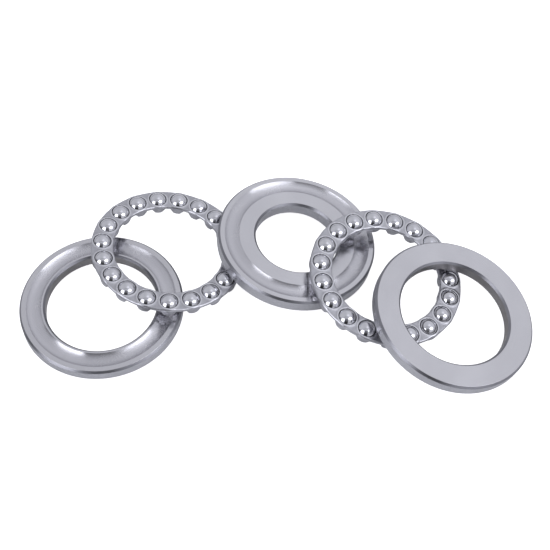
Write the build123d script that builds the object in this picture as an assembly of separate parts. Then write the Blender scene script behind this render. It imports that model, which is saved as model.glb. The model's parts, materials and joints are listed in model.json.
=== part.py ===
from build123d import *
import os
from math import asin, cos, degrees, radians, sin

# Double-direction thrust ball bearing, taken apart. Its five rings lie in the order in which
# they stack: housing washer a flat on the ground, then cage a, the shaft washer, cage b and
# housing washer b, each with one side on the ring before it and its far side on the ground.
# Millimetres, +Z up, ground at z = 0, origin at the middle of the footprint.

# Bearing: boundary dimensions
outer_dia = 105.0
housing_bore_dia = 72.0
shaft_bore_dia = 55.0
shaft_washer_dia = 104.6
housing_washer_height = 8.8
shaft_washer_height = 10.0
edge_bevel = 1.3

# Balls and raceways
ball_count = 19
ball_dia = 12.7
pitch_dia = 86.5
groove_radius = 0.54 * ball_dia
groove_depth = 2.0

# Cages: pressed from sheet, heights measured from the plane of the ball centres
sheet = 0.9
pocket_play = 0.15
plate_width = 14.4
plate_top = 3.0
shoulder_radius = 1.1
skirt_bottom = 0.9
lip_radius = 0.35
lobe_bottom = -3.8
arch_centre = -4.6
arch_radius = 4.4

# Where each ring lies: centre east, centre north, lean in degrees, and the direction that
# its low side faces, in degrees counterclockwise from +X
housing_washer_a_place = (-111.5, -15.7, 0.0, 0.0)
cage_a_place = (-70.2, 21.0, 9.46, 28.0)
shaft_washer_place = (13.0, 29.7, 9.0, 11.0)
cage_b_place = (71.1, -0.2, 12.5, -14.0)
housing_washer_b_place = (111.2, -29.4, 14.23, -10.0)
cage_a_turn = 102.8
cage_b_turn = 99.5

ball_radius = ball_dia / 2
pitch_radius = pitch_dia / 2
pocket_radius = ball_radius + pocket_play
cup_radius = pocket_radius + sheet
groove_centre = groove_radius - groove_depth
washer_foot = -edge_bevel
ball_angles = [360 / ball_count * k for k in range(ball_count)]


def resting(place, rim_radius, rim_below):
    """Frame of a leaning ring, raised until the point rim_below under its rim meets the ground."""
    east, north, lean, toward = place
    lean, toward = radians(lean), radians(toward)
    normal = (sin(lean) * cos(toward), sin(lean) * sin(toward), cos(lean))
    height = rim_radius * sin(lean) + rim_below
    return Plane(origin=(east, north, height), x_dir=(normal[2], 0, -normal[0]), z_dir=normal).location


def blank(bore_dia, rim_dia, height):
    """Ring with bevelled edges, standing on z = 0."""
    width = (rim_dia - bore_dia) / 2
    section = Pos((rim_dia + bore_dia) / 4, height / 2) * Rectangle(width, height)
    return revolve(Plane.XZ * chamfer(section.vertices(), edge_bevel), Axis.Z)


def groove(face_height, side):
    """Ring of ball track to be cut into a face; side is 1 for an upper face, -1 for a lower one."""
    return Pos(0, 0, face_height + side * groove_centre) * Torus(pitch_radius, groove_radius)


def housing_washer(side):
    """Large-bore washer with its raceway in the upper face (side 1) or the lower one (side -1)."""
    face_height = housing_washer_height if side > 0 else 0
    return blank(housing_bore_dia, outer_dia, housing_washer_height) - groove(face_height, side)


def shaft_washer():
    """Small-bore middle washer with a raceway in both faces."""
    ring = blank(shaft_bore_dia, shaft_washer_dia, shaft_washer_height)
    return ring - groove(shaft_washer_height, 1) - groove(0, -1)


def cage_channel():
    """Annular plate with rounded shoulders and a short skirt down each edge."""
    height = plate_top - skirt_bottom
    outside = Pos(pitch_radius, plate_top - height / 2) * Rectangle(plate_width, height)
    shoulders = outside.vertices().group_by(Axis.Y)[-1]
    inside = Pos(pitch_radius, plate_top - sheet - height / 2) * Rectangle(plate_width - 2 * sheet, height)
    return revolve(Plane.XZ * (fillet(shoulders, shoulder_radius) - inside), Axis.Z)


def cup():
    """Band of the bowl that hugs one ball, from under the plate down to the lobe's lower edge."""
    low, high = (degrees(asin(z / cup_radius)) for z in (lobe_bottom, plate_top - sheet / 2))
    return Sphere(cup_radius, arc_size1=low, arc_size2=high)


def lip():
    """Burnished bead round the mouth of one pocket."""
    mouth_radius = (pocket_radius**2 - plate_top**2) ** 0.5
    return Pos(0, 0, plate_top) * Torus(mouth_radius + lip_radius / 2, lip_radius)


def arch():
    """Cone along a radius that scallops the skirts halfway between two balls."""
    reach = plate_width
    growth = arch_radius * reach / pitch_dia
    cone = Cone(arch_radius - growth, arch_radius + growth, reach * 2)
    return Rot(0, 0, 180 / ball_count) * Pos(pitch_radius, 0, arch_centre) * Rot(0, 90, 0) * cone


def around(shape, radius=pitch_radius):
    """One copy of the shape for each ball, evenly round the ring."""
    return [Rot(0, 0, angle) * Pos(radius, 0, 0) * shape for angle in ball_angles]


def cage():
    """Pressed cage with its ball centres on z = 0."""
    pockets = around(Sphere(pocket_radius))
    return cage_channel() + around(cup()) + around(lip()) - around(arch(), 0) - pockets


def write(node, location, shape):
    """Put a shape in its place and save it as one node."""
    placed = location * shape
    placed.label = node
    export_step(placed, f"parts/{node}.step")


def write_cage(name, place, turn):
    """Save one cage and its balls, each ball's poles on the radial line that it rolls about."""
    location = resting(place, pitch_radius, ball_radius) * Rot(0, 0, turn)
    write(f"cage_{name}", location, cage())
    for number, ball in enumerate(around(Rot(0, 90, 0) * Sphere(ball_radius)), 1):
        write(f"ball_{name}_{number:02d}", location, ball)


os.makedirs("parts", exist_ok=True)
write("housing_washer_a", resting(housing_washer_a_place, 0, 0), housing_washer(1))
write_cage("a", cage_a_place, cage_a_turn)
write("shaft_washer", resting(shaft_washer_place, shaft_washer_dia / 2 + washer_foot, 0), shaft_washer())
write_cage("b", cage_b_place, cage_b_turn)
write("housing_washer_b", resting(housing_washer_b_place, outer_dia / 2 + washer_foot, 0), housing_washer(-1))
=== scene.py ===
import json
import math

import bmesh
import bpy
import numpy as np
from mathutils import Euler, Matrix, Vector

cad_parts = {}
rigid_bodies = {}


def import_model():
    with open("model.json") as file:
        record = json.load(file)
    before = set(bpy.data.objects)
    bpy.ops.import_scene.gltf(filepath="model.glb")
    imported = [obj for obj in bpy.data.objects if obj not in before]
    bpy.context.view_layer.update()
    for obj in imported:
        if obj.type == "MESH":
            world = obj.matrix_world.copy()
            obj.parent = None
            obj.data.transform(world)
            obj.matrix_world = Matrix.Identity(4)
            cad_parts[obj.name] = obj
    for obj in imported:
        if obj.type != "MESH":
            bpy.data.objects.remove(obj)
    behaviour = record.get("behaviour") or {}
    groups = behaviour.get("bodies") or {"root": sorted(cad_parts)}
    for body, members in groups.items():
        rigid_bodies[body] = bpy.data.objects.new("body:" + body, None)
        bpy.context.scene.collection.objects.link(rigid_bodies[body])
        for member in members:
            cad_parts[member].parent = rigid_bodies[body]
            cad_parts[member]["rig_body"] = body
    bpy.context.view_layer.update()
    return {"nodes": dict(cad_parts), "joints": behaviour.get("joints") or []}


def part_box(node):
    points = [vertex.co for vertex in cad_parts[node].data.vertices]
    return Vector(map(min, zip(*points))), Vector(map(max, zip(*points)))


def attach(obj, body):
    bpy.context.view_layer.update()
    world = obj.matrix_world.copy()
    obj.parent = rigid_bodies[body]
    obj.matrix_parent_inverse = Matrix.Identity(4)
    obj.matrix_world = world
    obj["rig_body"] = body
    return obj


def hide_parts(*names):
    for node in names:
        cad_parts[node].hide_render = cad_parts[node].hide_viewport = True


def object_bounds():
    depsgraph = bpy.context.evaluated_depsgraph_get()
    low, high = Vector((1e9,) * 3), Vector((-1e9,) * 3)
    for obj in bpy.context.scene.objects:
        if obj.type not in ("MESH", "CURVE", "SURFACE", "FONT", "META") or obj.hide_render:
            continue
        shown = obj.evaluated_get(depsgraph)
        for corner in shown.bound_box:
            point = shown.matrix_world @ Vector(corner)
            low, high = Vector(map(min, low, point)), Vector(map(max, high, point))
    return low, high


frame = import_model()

# A double-direction thrust ball bearing taken apart, its five rings leaning on one another.
# Each ring is shaped in millimetres round its own axis, with z along the axis, and is then put
# in metres in the place that the frame gives it. Its own coordinates stay on the mesh as the
# attribute RING and the direction away from its axis as OUTWARD, which the materials read.
MM = 0.001
RING = "ring"
OUTWARD = "outward"

# Camera
ELEVATION = math.radians(55.8)
ROLL = math.radians(0.4)
DISTANCE = 761 * MM
LENS = 75.2
AIM = Vector((0, 11.9 * MM, 0))

# Washers
OUTER_RADIUS = 52.5
HOUSING_BORE_RADIUS = 36.0
HOUSING_HEIGHT = 8.8
SHAFT_WASHER_RADIUS = 52.3
SHAFT_BORE_RADIUS = 27.5
SHAFT_WASHER_HEIGHT = 10.0
BEVEL = 1.3
GROOVE_RADIUS = 6.858
GROOVE_DEPTH = 2.0
EDGE_ROUNDING = 0.16
TURN_STEPS = 384

# Balls
PITCH_RADIUS = 43.25
BALL_RADIUS = 6.35
BALL_COUNT = 19
SECTOR = math.tau / BALL_COUNT

# Cages: middle of the sheet, with heights from the plane of the ball centres
SHEET = 0.9
POCKET_RADIUS = 6.5
CUP_RADIUS = POCKET_RADIUS + SHEET / 2
PLATE_HEIGHT = 3.0 - SHEET / 2
PLATE_HALF_WIDTH = 7.2 - SHEET / 2
SHOULDER_RADIUS = 1.1 - SHEET / 2
SKIRT_END = 0.9 + SHEET / 2
LOBE_END = -3.8 + SHEET / 2
ARCH_CENTRE = -4.6
ARCH_RADIUS = 4.4
CAGE_GRID = 0.34

# Burnished lips round the pockets, broader than the CAD's so that they catch the light
LIP_RADIUS = 0.7
LIP_CIRCLE = 6.15
LIP_HEIGHT = 2.65

# Fillets where the cage's shapes meet
CUP_FILLET = 1.2
ARCH_FILLET = 0.5
LIP_FILLET = 0.2
POCKET_FILLET = 0.12

# Drawing the cage's mesh onto its surface
DRAW_ROUNDS = 6
DRAW_SHARE = 0.9
LEAST_SLOPE = 0.2

# Where the cage is brightened, partly real burnishing and partly painted highlight, and how deep
# the painted shade within its pockets reaches
SHOULDER_HIGHLIGHT_LINE = 6.8
SHOULDER_HIGHLIGHT_SPREAD = 0.5
SHOULDER_HIGHLIGHT_FOOT = 1.5
SHOULDER_HIGHLIGHT_SHARE = 0.15
POCKET_SHADE_END = POCKET_RADIUS + 0.28
POCKET_SHADE_FADE = 0.12

# Studio: corners of its panels and dark places, as azimuth and elevation from the object
LEFT_PANEL = ((-28, 14), (-34, 53), (-70, 46), (-72, 18), (-60, 8))
RIGHT_PANEL = ((33, 57), (84, 52), (90, 36), (78, 23), (58, 25), (40, 42))
GAP = ((-32, 58), (32, 58), (18, 18), (6, -6), (-20, -4), (-28, 16))
BAND = ((-70, 52), (-80, 74), (80, 74), (65, 54))
NOTCH = ((-76, 2), (-76, 22), (-96, 24), (-96, 4))
OVERHEAD = ((95, 54), (148, 53), (165, 80), (80, 80))
SIDE_STRENGTH = 2.3
OVERHEAD_STRENGTH = 0.3
LIGHT_TINT = (0.958, 0.970, 1.04)
PAPER_HALF_WIDTH = 6.0
PAPER_TONE = 0.78
PAPER_GLOW = 0.88

joints = {joint["child"]: joint for joint in frame["joints"]}


# ---------------------------------------------------------------- node graphs
class Graph:
    """Short ways to add nodes to one tree. An input is a value or another node's output."""

    def __init__(self, tree):
        self.tree = tree

    def add(self, kind, inputs=None, **settings):
        made = self.tree.nodes.new("ShaderNode" + kind)
        for name, value in settings.items():
            setattr(made, name, value)
        for name, value in (inputs or {}).items():
            if isinstance(value, bpy.types.NodeSocket):
                self.tree.links.new(value, made.inputs[name])
            else:
                made.inputs[name].default_value = value
        return made

    def math(self, operation, first, second=0.0):
        return self.add("Math", {0: first, 1: second}, operation=operation).outputs[0]

    def average(self, first, second, share):
        """Mean of two values, in which the second one's weight is the share."""
        parts = self.math("MULTIPLY", first, 1 - share), self.math("MULTIPLY", second, share)
        return self.math("ADD", *parts)

    def vector(self, operation, first, second=(0, 0, 0)):
        kind = "Value" if operation in ("LENGTH", "DOT_PRODUCT") else "Vector"
        return self.add("VectorMath", {0: first, 1: second}, operation=operation).outputs[kind]

    def noise(self, place, scale, detail=3.0, roughness=0.55):
        inputs = {"Vector": place, "Scale": scale, "Detail": detail, "Roughness": roughness}
        return self.add("TexNoise", inputs).outputs["Fac"]

    def ramp(self, value, low, high, start=0.0, end=1.0, smooth=True):
        """The value's stretch from low to high, carried to the stretch from start to end."""
        inputs = {"Value": value, "From Min": low, "From Max": high, "To Min": start, "To Max": end}
        style = "SMOOTHSTEP" if smooth else "LINEAR"
        return self.add("MapRange", inputs, interpolation_type=style).outputs["Result"]

    def blend(self, share, first, second):
        """First colour where the share is 0, second where it is 1."""
        made = self.add("Mix", {0: share}, data_type="RGBA")
        for socket, value in ((made.inputs[6], first), (made.inputs[7], second)):
            if isinstance(value, bpy.types.NodeSocket):
                self.tree.links.new(value, socket)
            else:
                socket.default_value = (*value, 1)
        return made.outputs[2]

    def bump(self, height, strength, distance):
        inputs = {"Height": height, "Strength": strength, "Distance": distance}
        return self.add("Bump", inputs).outputs["Normal"]


def steel(name):
    """A metal material: the material, its graph, its shader."""
    material = bpy.data.materials.new(name)
    material.use_nodes = True
    shader = material.node_tree.nodes["Principled BSDF"]
    shader.inputs["Metallic"].default_value = 1
    return material, Graph(material.node_tree), shader


def finish(graph, shader, colour, roughness, normal=None):
    links = graph.tree.links
    links.new(colour, shader.inputs["Base Color"])
    links.new(roughness, shader.inputs["Roughness"])
    if normal:
        links.new(normal, shader.inputs["Normal"])


def ring_coordinates(graph):
    """Millimetres in the ring's own frame: the whole place, and the distance from the axis."""
    place = graph.add("Attribute", attribute_name=RING).outputs["Vector"]
    flat = graph.vector("MULTIPLY", place, (1, 1, 0))
    return place, graph.vector("LENGTH", flat)


def turned_steel(name, light, dark, roughness, spread, line_scale, depth, lay_share):
    """Steel cut or ground on a lathe: fine lines round the axis, cloudy tone, a few marks.

    The lines blur what it mirrors away from the axis and keep it sharp round the axis.
    """
    material, graph, shader = steel(name)
    outward = graph.add("Attribute", attribute_name=OUTWARD).outputs["Vector"]
    settings = {"vector_type": "VECTOR", "convert_from": "OBJECT", "convert_to": "WORLD"}
    across_lines = graph.add("VectorTransform", {0: outward}, **settings).outputs[0]
    graph.tree.links.new(across_lines, shader.inputs["Tangent"])
    shader.inputs["Anisotropic"].default_value = lay_share
    place, radius = ring_coordinates(graph)
    height = graph.add("SeparateXYZ", {0: place}).outputs["Z"]
    lay = graph.add("CombineXYZ", {"X": radius, "Y": 0.0, "Z": height}).outputs[0]
    drift = graph.vector("MULTIPLY", place, (0.02, 0.02, 0.02))
    lines = graph.noise(graph.vector("ADD", lay, drift), line_scale, 4, 0.7)
    clouds = graph.noise(place, 0.07, 3, 0.5)
    grain = graph.noise(place, 2.6, 4, 0.6)
    tone = graph.average(lines, clouds, 0.55)
    colour = graph.blend(graph.ramp(tone, 0.35, 0.65), dark, light)
    wear = graph.average(clouds, grain, 0.4)
    dull = graph.ramp(wear, 0.35, 0.65, roughness - spread, roughness + spread)
    finish(graph, shader, colour, dull, graph.bump(lines, 0.35, depth * MM))
    return material


def ball_steel():
    """Lapped steel: a mirror with a breath of handling haze and hairline lapping marks."""
    material, graph, shader = steel("ball_mirror")
    place = graph.add("TexCoord").outputs["Object"]
    haze = graph.noise(place, 260, 3, 0.5)
    hairs = graph.noise(graph.vector("MULTIPLY", place, (9000, 900, 2200)), 1.0, 2, 0.5)
    colour = graph.blend(graph.ramp(haze, 0.35, 0.65), (0.66, 0.66, 0.695), (0.70, 0.70, 0.73))
    dull = graph.ramp(haze, 0.4, 0.7, 0.02, 0.05)
    finish(graph, shader, colour, dull, graph.bump(hairs, 0.02, 0.00001))
    return material


def cage_steel():
    """Tumbled pressed sheet: satin; lighter on its lips and shoulders, partly real burnishing and
    partly painted highlight; painted shade, near black, within its pockets.
    """
    material, graph, shader = steel("cage_sheet")
    place, _ = ring_coordinates(graph)
    burnish_and_painted_highlight = graph.add("Attribute", attribute_name="burnish_and_highlight").outputs["Fac"]
    painted_pocket_shade = graph.add("Attribute", attribute_name="pocket_shade").outputs["Fac"]
    clouds = graph.noise(place, 0.16, 3, 0.55)
    grain = graph.noise(place, 3.2, 4, 0.65)
    peel = graph.noise(place, 1.1, 2, 0.5)
    tone = graph.average(clouds, grain, 0.35)
    sheet = graph.blend(graph.ramp(tone, 0.36, 0.64), (0.44, 0.44, 0.47), (0.53, 0.53, 0.56))
    # Lips and shoulders made lighter: partly real burnishing, partly painted highlight.
    bright = graph.blend(burnish_and_painted_highlight, sheet, (0.72, 0.72, 0.75))
    # Painted shade: a near-black colour within the pockets, where the gap round each ball lies in
    # shade.
    colour = graph.blend(painted_pocket_shade, bright, (0.06, 0.06, 0.07))
    satin = graph.ramp(grain, 0.3, 0.7, 0.27, 0.37)
    dull = graph.math("SUBTRACT", satin, graph.math("MULTIPLY", burnish_and_painted_highlight, 0.12))
    relief = graph.math("ADD", graph.math("MULTIPLY", grain, 0.3), peel)
    finish(graph, shader, colour, dull, graph.bump(relief, 0.25, 0.02 * MM))
    return material


BALL = ball_steel()
CAGE = cage_steel()
FINISHES = {
    "ground": turned_steel(
        "washer_ground", light=(0.66, 0.655, 0.68), dark=(0.63, 0.625, 0.65),
        roughness=0.22, spread=0.02, line_scale=3.5, depth=0.0015, lay_share=0.8,
    ),
    "raceway": turned_steel(
        "washer_raceway", light=(0.65, 0.645, 0.675), dark=(0.62, 0.615, 0.645),
        roughness=0.26, spread=0.015, line_scale=5.0, depth=0.0008, lay_share=1.0,
    ),
    "bevel": turned_steel(
        "washer_bevel", light=(0.31, 0.31, 0.335), dark=(0.25, 0.25, 0.27),
        roughness=0.36, spread=0.05, line_scale=4.0, depth=0.01, lay_share=0.6,
    ),
    "bore": turned_steel(
        "washer_bore", light=(0.38, 0.37, 0.37), dark=(0.26, 0.25, 0.25),
        roughness=0.36, spread=0.06, line_scale=2.5, depth=0.01, lay_share=0.3,
    ),
    "rim": turned_steel(
        "washer_rim", light=(0.58, 0.58, 0.61), dark=(0.52, 0.52, 0.55),
        roughness=0.26, spread=0.04, line_scale=3.0, depth=0.006, lay_share=0.6,
    ),
}


# ---------------------------------------------------------------- placing
def ring_place(body):
    """Frame of a ring: its joint's point and axis, or for the root the middle of its box's foot."""
    if body in joints:
        joint = joints[body]
        spot, axis = Vector(joint["pos_m"]), Vector(joint["axis"]).normalized()
    else:
        low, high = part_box(body)
        spot, axis = Vector(((low.x + high.x) / 2, (low.y + high.y) / 2, low.z)), Vector((0, 0, 1))
    across = Vector((axis.z, 0, -axis.x)).normalized()
    turn = Matrix((across, axis.cross(across), axis)).transposed()
    return Matrix.Translation(spot) @ turn.to_4x4()


def keep_attribute(mesh, name, kind, values):
    """A value for each vertex, which the materials read by name."""
    field = "vector" if kind == "FLOAT_VECTOR" else "value"
    attribute = mesh.attributes.new(name, kind, "POINT")
    attribute.data.foreach_set(field, np.asarray(values, float).ravel())


def placed(name, verts, faces, normals, place):
    """A smooth object from a ring's own millimetres and normals, its place held in its vertices."""
    turn = np.array(place.to_3x3())
    mesh = bpy.data.meshes.new(name)
    mesh.from_pydata((verts * MM @ turn.T + np.array(place.translation)).tolist(), [], faces)
    mesh.polygons.foreach_set("use_smooth", [True] * len(faces))
    mesh.normals_split_custom_set_from_vertices((normals @ turn.T).tolist())
    outward = verts * (1, 1, 0) / np.hypot(verts[:, 0], verts[:, 1])[:, None]
    keep_attribute(mesh, RING, "FLOAT_VECTOR", verts)
    keep_attribute(mesh, OUTWARD, "FLOAT_VECTOR", outward @ turn.T)
    obj = bpy.data.objects.new(name, mesh)
    bpy.context.scene.collection.objects.link(obj)
    return obj


def stand_in(piece, node_name):
    """The piece takes a CAD node's place and rides on its body."""
    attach(piece, frame["nodes"][node_name]["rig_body"])
    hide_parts(node_name)


# ---------------------------------------------------------------- washers
def rounded(corners, steps=4):
    """A closed outline of (point, finish, normal), with every corner that has no normal rounded."""
    out = []
    for i, (point, part, normal) in enumerate(corners):
        corner = Vector(point)
        if normal is not None:
            out.append((corner, part, Vector(normal)))
            continue
        before = Vector(corners[i - 1][0]) - corner
        after = Vector(corners[(i + 1) % len(corners)][0]) - corner
        half = before.angle(after) / 2
        start = corner + before.normalized() * EDGE_ROUNDING / math.tan(half)
        end = corner + after.normalized() * EDGE_ROUNDING / math.tan(half)
        middle = (before.normalized() + after.normalized()).normalized()
        centre = corner + middle * EDGE_ROUNDING / math.sin(half)
        for k in range(steps + 1):
            outward = (start.lerp(end, k / steps) - centre).normalized()
            out.append((centre + outward * EDGE_ROUNDING, part, outward))
    return out


def groove(face, side, steps=40):
    """The raceway's section, from its inner edge to its outer one; side 1 is an upper face."""
    centre = Vector((PITCH_RADIUS, face + side * (GROOVE_RADIUS - GROOVE_DEPTH)))
    half = math.acos((GROOVE_RADIUS - GROOVE_DEPTH) / GROOVE_RADIUS)
    out = []
    for k in range(steps + 1):
        angle = half * (2 * k / steps - 1)
        outward = Vector((-math.sin(angle), side * math.cos(angle)))
        sharp = k in (0, steps)
        out.append((centre - outward * GROOVE_RADIUS, "raceway", None if sharp else outward))
    return out


def washer_outline(bore, rim, height, upper, lower, bore_finish):
    """Closed outline (radius, height), each point with the finish of the stretch after it."""
    inner = [((bore, height - BEVEL), bore_finish), ((bore, BEVEL), "bevel")]
    out = [(*corner, None) for corner in inner] + [((bore + BEVEL, 0), "ground", None)]
    if lower:
        track = groove(0, -1)
        out += track[:-1] + [(track[-1][0], "ground", None)]
    edges = [((rim - BEVEL, 0), "bevel"), ((rim, BEVEL), "rim"), ((rim, height - BEVEL), "bevel")]
    out += [(*corner, None) for corner in edges] + [((rim - BEVEL, height), "ground", None)]
    if upper:
        track = groove(height, 1)[::-1]
        out += track[:-1] + [(track[-1][0], "ground", None)]
    return out + [((bore + BEVEL, height), "bevel", None)]


def turned(name, outline, place):
    """The outline turned round the axis, in its place, with one material for each finish."""
    outline = rounded(outline)
    section = np.array([(*point, *normal) for point, _, normal in outline])
    angles = math.tau * np.arange(TURN_STEPS)[:, None] / TURN_STEPS
    cos, sin = np.cos(angles), np.sin(angles)

    def spin(radial, axial):
        return np.stack([radial * cos, radial * sin, axial + 0 * cos], -1).reshape(-1, 3)

    count, order = len(outline), list(FINISHES)
    faces, marks = [], []
    for step in range(TURN_STEPS):
        here, there = step * count, (step + 1) % TURN_STEPS * count
        for i, (_, part, _) in enumerate(outline):
            j = (i + 1) % count
            faces.append((here + i, there + i, there + j, here + j))
            marks.append(order.index(part))
    verts, normals = spin(section[:, 0], section[:, 1]), spin(section[:, 2], section[:, 3])
    obj = placed(name, verts, faces, normals, place)
    for material in FINISHES.values():
        obj.data.materials.append(material)
    obj.data.polygons.foreach_set("material_index", marks)
    return obj


def build_washers():
    housing = (HOUSING_BORE_RADIUS, OUTER_RADIUS, HOUSING_HEIGHT)
    shaft = (SHAFT_BORE_RADIUS, SHAFT_WASHER_RADIUS, SHAFT_WASHER_HEIGHT)
    for body, sizes, upper, lower, bore_finish in (
        ("housing_washer_a", housing, True, False, "bore"),
        ("shaft_washer", shaft, True, True, "rim"),
        ("housing_washer_b", housing, False, True, "bore"),
    ):
        outline = washer_outline(*sizes, upper, lower, bore_finish)
        piece = turned(f"{body}_turned", outline, ring_place(body))
        stand_in(piece, body)


# ---------------------------------------------------------------- balls
def build_balls():
    made = bmesh.new()
    bmesh.ops.create_uvsphere(made, u_segments=96, v_segments=64, radius=BALL_RADIUS * MM)
    for face in made.faces:
        face.smooth = True
    mesh = bpy.data.meshes.new("ball")
    made.to_mesh(mesh)
    made.free()
    mesh.materials.append(BALL)
    for body, joint in joints.items():
        if body.startswith("ball_"):
            piece = bpy.data.objects.new(f"{body}_polished", mesh)
            bpy.context.scene.collection.objects.link(piece)
            piece.location = joint["pos_m"]
            bpy.context.view_layer.update()
            stand_in(piece, body)


# ---------------------------------------------------------------- cages
def smooth_union(first, second, radius):
    """Distance to two joined shapes, with a fillet of about the radius where they meet."""
    share = np.clip(0.5 + 0.5 * (second - first) / radius, 0, 1)
    return second + (first - second) * share - radius * share * (1 - share)


def smooth_cut(shape, tool, radius):
    """Distance to a shape less a tool, with the edge between them rounded."""
    return -smooth_union(-shape, tool, radius)


def channel_distance(across, z):
    """Distance from the middle of the plate, its shoulders and its two skirts."""
    across = np.abs(across)
    flat_end = PLATE_HALF_WIDTH - SHOULDER_RADIUS
    bend = PLATE_HEIGHT - SHOULDER_RADIUS
    plate = np.hypot(np.maximum(across - flat_end, 0), z - PLATE_HEIGHT)
    skirt = np.hypot(across - PLATE_HALF_WIDTH, z - np.clip(z, SKIRT_END, bend))
    corner = np.abs(np.hypot(across - flat_end, z - bend) - SHOULDER_RADIUS)
    bent = (across > flat_end) & (z > bend)
    return np.where(bent, corner, np.minimum(plate, skirt))


def cup_distance(x, y, z):
    """Distance from the middle of the bowl round a ball, which is open above and below."""
    flat = np.hypot(x, y)
    height = np.clip(CUP_RADIUS * z / np.maximum(np.hypot(flat, z), 0.01), LOBE_END, PLATE_HEIGHT)
    return np.hypot(flat - np.sqrt(CUP_RADIUS**2 - height**2), z - height)


def from_nearest_ball(points):
    """Distance from the ring's axis, angle from the nearest ball, and x and y from that ball."""
    angle = np.arctan2(points[:, 1], points[:, 0])
    off = angle - SECTOR * np.round(angle / SECTOR)
    radius = np.hypot(points[:, 0], points[:, 1])
    return radius, off, radius * np.cos(off) - PITCH_RADIUS, radius * np.sin(off)


def cage_distance(points):
    """Signed distance to the cage's surface, with one ball centre on the ring's own x axis."""
    radius, off, x, y = from_nearest_ball(points)
    z = points[:, 2]
    sheet = channel_distance(radius - PITCH_RADIUS, z) - SHEET / 2
    body = smooth_union(sheet, cup_distance(x, y, z) - SHEET / 2, CUP_FILLET)
    across_arch = radius * np.sin(SECTOR / 2 - np.abs(off))
    arch = np.hypot(across_arch, z - ARCH_CENTRE) - ARCH_RADIUS * radius / PITCH_RADIUS
    body = smooth_cut(body, arch, ARCH_FILLET)
    lip = np.hypot(np.hypot(x, y) - LIP_CIRCLE, z - LIP_HEIGHT) - LIP_RADIUS
    body = smooth_union(body, lip, LIP_FILLET)
    ball_space = np.sqrt(x * x + y * y + z * z) - POCKET_RADIUS
    return smooth_cut(body, ball_space, POCKET_FILLET)


def slope(points, step=0.01):
    """Gradient of the cage's distance."""
    sides = [step * axis for axis in np.eye(3)]
    rises = [cage_distance(points + side) - cage_distance(points - side) for side in sides]
    return np.stack(rises, -1) / (2 * step)


def to_ring(body, points):
    """Metres in the shared frame to a ring's own millimetres."""
    place = ring_place(body)
    return (points - np.array(place.translation)) @ np.array(place.to_3x3()) / MM


def turned_by(points, angle):
    """The points turned round the ring's axis."""
    cos, sin = math.cos(angle), math.sin(angle)
    return points @ np.array([[cos, sin, 0], [-sin, cos, 0], [0, 0, 1]])


def turn_of(body):
    """Angle of a cage's first ball in the ring's own frame."""
    first = np.array([joints[body.replace("cage", "ball") + "_01"]["pos_m"]])
    x, y, _ = to_ring(body, first)[0]
    return math.atan2(y, x)


def vertices_of(mesh):
    points = np.empty(len(mesh.vertices) * 3)
    mesh.vertices.foreach_get("co", points)
    return points.reshape(-1, 3)


def faces_of(mesh):
    return [tuple(face.vertices) for face in mesh.polygons]


def even_mesh(body):
    """The CAD cage meshed again in even steps, its first ball on the ring's own x axis."""
    source = frame["nodes"][body].data
    local = turned_by(to_ring(body, vertices_of(source)), -turn_of(body))
    rough = bpy.data.meshes.new("rough_cage")
    rough.from_pydata(local.tolist(), [], faces_of(source))
    holder = bpy.data.objects.new("rough_cage", rough)
    bpy.context.scene.collection.objects.link(holder)
    remesh = holder.modifiers.new("even", "REMESH")
    remesh.mode, remesh.voxel_size = "VOXEL", CAGE_GRID
    shown = holder.evaluated_get(bpy.context.evaluated_depsgraph_get())
    even = bpy.data.meshes.new_from_object(shown)
    verts, faces = vertices_of(even), faces_of(even)
    bpy.data.objects.remove(holder)
    return verts, faces


def cage_shape(body):
    """Even mesh of one cage, drawn onto its surface: vertices, faces and normals."""
    verts, faces = even_mesh(body)
    for _ in range(DRAW_ROUNDS):
        ahead = slope(verts)
        steepness = np.maximum((ahead**2).sum(1), LEAST_SLOPE)
        verts = verts - DRAW_SHARE * (cage_distance(verts) / steepness)[:, None] * ahead
    ahead = slope(verts)
    return verts, faces, ahead / np.linalg.norm(ahead, axis=1)[:, None]


def cage_marks(verts):
    """How much each vertex of a cage is brightened, partly real burnishing and partly painted
    highlight, and how much painted shade it takes within its pockets.
    """
    radius, _, x, y = from_nearest_ball(verts)
    across, flat, height = np.abs(radius - PITCH_RADIUS), np.hypot(x, y), verts[:, 2]
    # Lip crest made lighter: partly real burnishing, partly painted highlight.
    from_crest = np.hypot(flat - LIP_CIRCLE, height - LIP_HEIGHT - LIP_RADIUS / 2)
    lip = np.exp(-(from_crest / LIP_RADIUS) ** 4)
    # Painted highlight: a lighter line along each shoulder of the plate.
    shoulder_highlight = np.exp(-(((across - SHOULDER_HIGHLIGHT_LINE) / SHOULDER_HIGHLIGHT_SPREAD) ** 2))
    burnish_and_highlight = np.clip(lip + SHOULDER_HIGHLIGHT_SHARE * shoulder_highlight * (height > SHOULDER_HIGHLIGHT_FOOT), 0, 1)
    return burnish_and_highlight, np.clip((POCKET_SHADE_END - np.hypot(flat, height)) / POCKET_SHADE_FADE, 0, 1)


def build_cages():
    """Both cages from one shape, each turned to where its own balls are."""
    verts, faces, normals = cage_shape("cage_a")
    burnish_and_highlight, painted_pocket_shade = cage_marks(verts)
    for body in ("cage_a", "cage_b"):
        turn = turn_of(body)
        local, facing = turned_by(verts, turn), turned_by(normals, turn)
        piece = placed(f"{body}_pressed", local, faces, facing, ring_place(body))
        piece.data.materials.append(CAGE)
        # Shares of burnishing with painted highlight, and of painted shade within the pockets, for
        # the material.
        keep_attribute(piece.data, "burnish_and_highlight", "FLOAT", burnish_and_highlight)
        keep_attribute(piece.data, "pocket_shade", "FLOAT", painted_pocket_shade)
        stand_in(piece, body)


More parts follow.
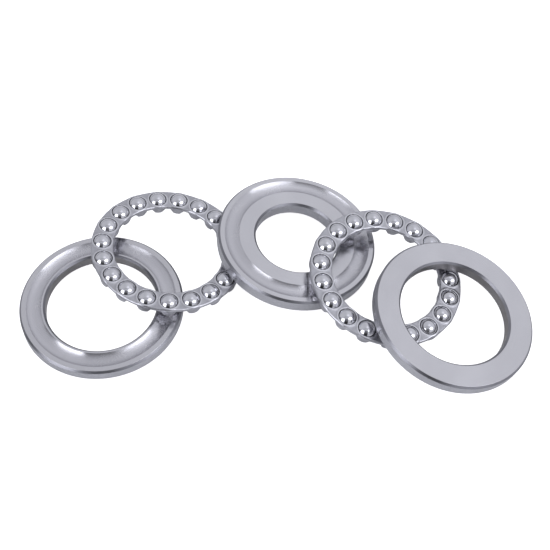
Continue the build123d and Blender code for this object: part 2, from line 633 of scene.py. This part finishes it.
# ---------------------------------------------------------------- studio
def toward(azimuth, elevation):
    """Unit direction; degrees, azimuth 0 is straight in front and grows to the right."""
    azimuth, elevation = math.radians(azimuth), math.radians(elevation)
    flat = math.cos(elevation)
    return Vector((flat * math.sin(azimuth), -flat * math.cos(azimuth), math.sin(elevation)))


def panel(graph, direction, corners, soft):
    """Share of a convex panel in a direction, its corners given as (azimuth, elevation)."""
    spots = [toward(*corner) for corner in corners]
    middle = sum(spots, Vector())
    share = 1.0
    for i, spot in enumerate(spots):
        inward = spot.cross(spots[i - 1]).normalized()
        inward = inward if inward.dot(middle) > 0 else -inward
        depth = graph.vector("DOT_PRODUCT", direction, tuple(inward))
        share = graph.math("MULTIPLY", graph.ramp(depth, -soft, soft), share)
    return share


def shaded(graph, light, share, keep):
    """The light, with only the part keep of it left where the share is 1."""
    loss = graph.math("MULTIPLY", share, graph.math("SUBTRACT", 1.0, keep))
    return graph.math("MULTIPLY", light, graph.math("SUBTRACT", 1.0, loss))


def build_world():
    """A pale tent: a panel on each side, a faint one high behind, the camera's dark gap ahead."""
    world = bpy.data.worlds.new("studio")
    bpy.context.scene.world = world
    world.use_nodes = True
    graph = Graph(world.node_tree)
    direction = graph.add("TexCoord").outputs["Generated"]
    parts = graph.add("SeparateXYZ", {0: direction}).outputs
    height = parts["Z"]
    tent = graph.ramp(height, -0.05, 0.42, 0.42, 0.75)
    tent = graph.math("MULTIPLY", tent, graph.ramp(parts["X"], -0.3, 0.35, 0.87, 1.03))
    gap_light = graph.ramp(height, 0.4, 0.88, 0.06, 0.42, smooth=False)
    for corners, soft, keep in ((BAND, 0.07, 0.72), (GAP, 0.06, gap_light), (NOTCH, 0.06, 0.2)):
        tent = shaded(graph, tent, panel(graph, direction, corners, soft), keep)
    panels = 0.0
    for corners, soft, strength in (
        (LEFT_PANEL, 0.04, SIDE_STRENGTH),
        (RIGHT_PANEL, 0.04, SIDE_STRENGTH),
        (OVERHEAD, 0.09, OVERHEAD_STRENGTH),
    ):
        light = graph.math("MULTIPLY", panel(graph, direction, corners, soft), strength)
        panels = graph.math("ADD", light, panels)
    background = world.node_tree.nodes["Background"]
    background.inputs["Color"].default_value = (*LIGHT_TINT, 1)
    world.node_tree.links.new(graph.math("ADD", tent, panels), background.inputs["Strength"])


def build_floor():
    """White paper, lit from below for the camera so that it stays white round the object."""
    half = PAPER_HALF_WIDTH
    corners = [(-half, -half, 0), (half, -half, 0), (half, half, 0), (-half, half, 0)]
    mesh = bpy.data.meshes.new("floor")
    mesh.from_pydata(corners, [], [(0, 1, 2, 3)])
    floor = bpy.data.objects.new("floor", mesh)
    bpy.context.scene.collection.objects.link(floor)
    floor.location.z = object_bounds()[0].z - 0.02 * MM
    paper = bpy.data.materials.new("floor_paper")
    paper.use_nodes = True
    graph = Graph(paper.node_tree)
    shader = paper.node_tree.nodes["Principled BSDF"]
    shader.inputs["Base Color"].default_value = (PAPER_TONE, PAPER_TONE, PAPER_TONE, 1)
    shader.inputs["Roughness"].default_value = 0.9
    shader.inputs["Specular IOR Level"].default_value = 0
    shader.inputs["Emission Color"].default_value = (1, 1, 1, 1)
    seen = graph.add("LightPath").outputs["Is Camera Ray"]
    glow = graph.math("MULTIPLY", seen, PAPER_GLOW)
    paper.node_tree.links.new(glow, shader.inputs["Emission Strength"])
    mesh.materials.append(paper)


def build_camera():
    camera = bpy.data.cameras.new("camera")
    camera.lens = LENS
    camera.sensor_width = 36
    camera.clip_end = 20
    obj = bpy.data.objects.new("camera", camera)
    bpy.context.scene.collection.objects.link(obj)
    turn = Euler((math.pi / 2 - ELEVATION, 0, 0)).to_matrix() @ Euler((0, 0, ROLL)).to_matrix()
    obj.matrix_world = Matrix.Translation(AIM + turn @ Vector((0, 0, DISTANCE))) @ turn.to_4x4()
    bpy.context.scene.camera = obj


build_washers()
build_balls()
build_cages()
build_world()
build_floor()
build_camera()
bpy.context.scene.view_settings.view_transform = "Standard"
